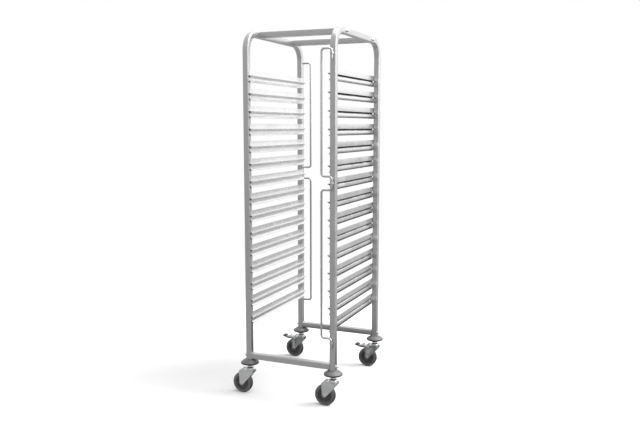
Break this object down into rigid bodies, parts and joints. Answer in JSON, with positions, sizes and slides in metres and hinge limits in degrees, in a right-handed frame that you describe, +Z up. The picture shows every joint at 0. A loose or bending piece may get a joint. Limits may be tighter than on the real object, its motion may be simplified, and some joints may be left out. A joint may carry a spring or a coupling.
{
  "type": "sheet pan rack",
  "caption": "Tall open rack of square tube on four swivel castors, with paired tray runners, swinging retaining bars at both ends and round corner bumpers.",
  "frame": {"origin": "on the floor under the centre of the frame's four uprights", "axes": "+X across the tray opening to the right, +Y from the front to the back, +Z up"},
  "size_m": [0.585, 0.69, 1.73],
  "materials": {
    "tube_steel": "satin stainless tube",
    "runner_steel": "mill-finish stainless sheet",
    "rod_steel": "drawn stainless rod",
    "fastener_steel": "bright",
    "castor_steel": "zinc plated pressing",
    "ball_steel": "polished",
    "bumper_plastic": "grey non-marking",
    "plug_plastic": "black",
    "tyre_rubber": "dark grey non-marking rubber",
    "hub_plastic": "dark grey",
    "pad_plastic": "black"
  },
  "bodies": {
    "rack": {"side_frame_left": "tube_steel", "side_frame_right": "tube_steel", "crossbar_lower_front": "tube_steel", "crossbar_lower_rear": "tube_steel", "crossbar_upper_front": "tube_steel", "crossbar_upper_rear": "tube_steel", "crossbar_inserts": "fastener_steel", "crossbar_bolts": "fastener_steel", "runner_pair_01": "runner_steel", "runner_pair_02": "runner_steel", "runner_pair_03": "runner_steel", "runner_pair_04": "runner_steel", "runner_pair_05": "runner_steel", "runner_pair_06": "runner_steel", "runner_pair_07": "runner_steel", "runner_pair_08": "runner_steel", "runner_pair_09": "runner_steel", "runner_pair_10": "runner_steel", "runner_pair_11": "runner_steel", "runner_pair_12": "runner_steel", "runner_pair_13": "runner_steel", "runner_pair_14": "runner_steel", "runner_pair_15": "runner_steel", "hinge_eyes_front": "rod_steel", "hinge_eyes_rear": "rod_steel", "stem_plugs": "plug_plastic", "swivel_balls": "ball_steel", "castor_stem_front_left": "castor_steel", "bumper_front_left": "bumper_plastic", "castor_stem_front_right": "castor_steel", "bumper_front_right": "bumper_plastic", "castor_stem_rear_left": "castor_steel", "bumper_rear_left": "bumper_plastic", "castor_stem_rear_right": "castor_steel", "bumper_rear_right": "bumper_plastic"},
    "front_bar": {"retaining_bar_front": "rod_steel"},
    "rear_bar": {"retaining_bar_rear": "rod_steel"},
    "swivel_front_left": {"castor_fork_front_left": "castor_steel", "castor_axle_front_left": "fastener_steel"},
    "wheel_front_left": {"castor_tyre_front_left": "tyre_rubber", "castor_hub_front_left": "hub_plastic"},
    "swivel_front_right": {"castor_fork_front_right": "castor_steel", "castor_axle_front_right": "fastener_steel"},
    "wheel_front_right": {"castor_tyre_front_right": "tyre_rubber", "castor_hub_front_right": "hub_plastic"},
    "swivel_rear_left": {"castor_fork_rear_left": "castor_steel", "castor_axle_rear_left": "fastener_steel", "brake_pin_rear_left": "castor_steel"},
    "wheel_rear_left": {"castor_tyre_rear_left": "tyre_rubber", "castor_hub_rear_left": "hub_plastic"},
    "pedal_rear_left": {"brake_pedal_rear_left": "castor_steel", "pedal_pad_rear_left": "pad_plastic"},
    "swivel_rear_right": {"castor_fork_rear_right": "castor_steel", "castor_axle_rear_right": "fastener_steel", "brake_pin_rear_right": "castor_steel"},
    "wheel_rear_right": {"castor_tyre_rear_right": "tyre_rubber", "castor_hub_rear_right": "hub_plastic"},
    "pedal_rear_right": {"brake_pedal_rear_right": "castor_steel", "pedal_pad_rear_right": "pad_plastic"}
  },
  "joints": [
    {"name": "front_bar_hinge", "type": "hinge", "parent": "rack", "child": "front_bar", "pos_m": [0.217, -0.325, 0.96], "axis": [0, 0, 1], "range_deg": [0, 180]},
    {"name": "rear_bar_hinge", "type": "hinge", "parent": "rack", "child": "rear_bar", "pos_m": [-0.217, 0.325, 0.96], "axis": [0, 0, 1], "range_deg": [0, 180]},
    {"name": "front_left_swivel", "type": "hinge", "parent": "rack", "child": "swivel_front_left", "pos_m": [-0.217, -0.301, 0.119], "axis": [0, 0, 1], "continuous": true},
    {"name": "front_left_wheel_spin", "type": "hinge", "parent": "swivel_front_left", "child": "wheel_front_left", "pos_m": [-0.256, -0.301, 0.05], "axis": [0, 1, 0], "continuous": true},
    {"name": "front_right_swivel", "type": "hinge", "parent": "rack", "child": "swivel_front_right", "pos_m": [0.217, -0.301, 0.119], "axis": [0, 0, 1], "continuous": true},
    {"name": "front_right_wheel_spin", "type": "hinge", "parent": "swivel_front_right", "child": "wheel_front_right", "pos_m": [0.178, -0.301, 0.05], "axis": [0, 1, 0], "continuous": true},
    {"name": "rear_left_swivel", "type": "hinge", "parent": "rack", "child": "swivel_rear_left", "pos_m": [-0.217, 0.301, 0.119], "axis": [0, 0, 1], "continuous": true},
    {"name": "rear_left_wheel_spin", "type": "hinge", "parent": "swivel_rear_left", "child": "wheel_rear_left", "pos_m": [-0.256, 0.301, 0.05], "axis": [0, 1, 0], "continuous": true},
    {"name": "rear_left_brake_pedal", "type": "hinge", "parent": "swivel_rear_left", "child": "pedal_rear_left", "pos_m": [-0.256, 0.301, 0.1055], "axis": [0, -1, 0], "range_deg": [0, 15]},
    {"name": "rear_right_swivel", "type": "hinge", "parent": "rack", "child": "swivel_rear_right", "pos_m": [0.217, 0.301, 0.119], "axis": [0, 0, 1], "continuous": true},
    {"name": "rear_right_wheel_spin", "type": "hinge", "parent": "swivel_rear_right", "child": "wheel_rear_right", "pos_m": [0.178, 0.301, 0.05], "axis": [0, 1, 0], "continuous": true},
    {"name": "rear_right_brake_pedal", "type": "hinge", "parent": "swivel_rear_right", "child": "pedal_rear_right", "pos_m": [0.178, 0.301, 0.1055], "axis": [0, -1, 0], "range_deg": [0, 15]}
  ]
}
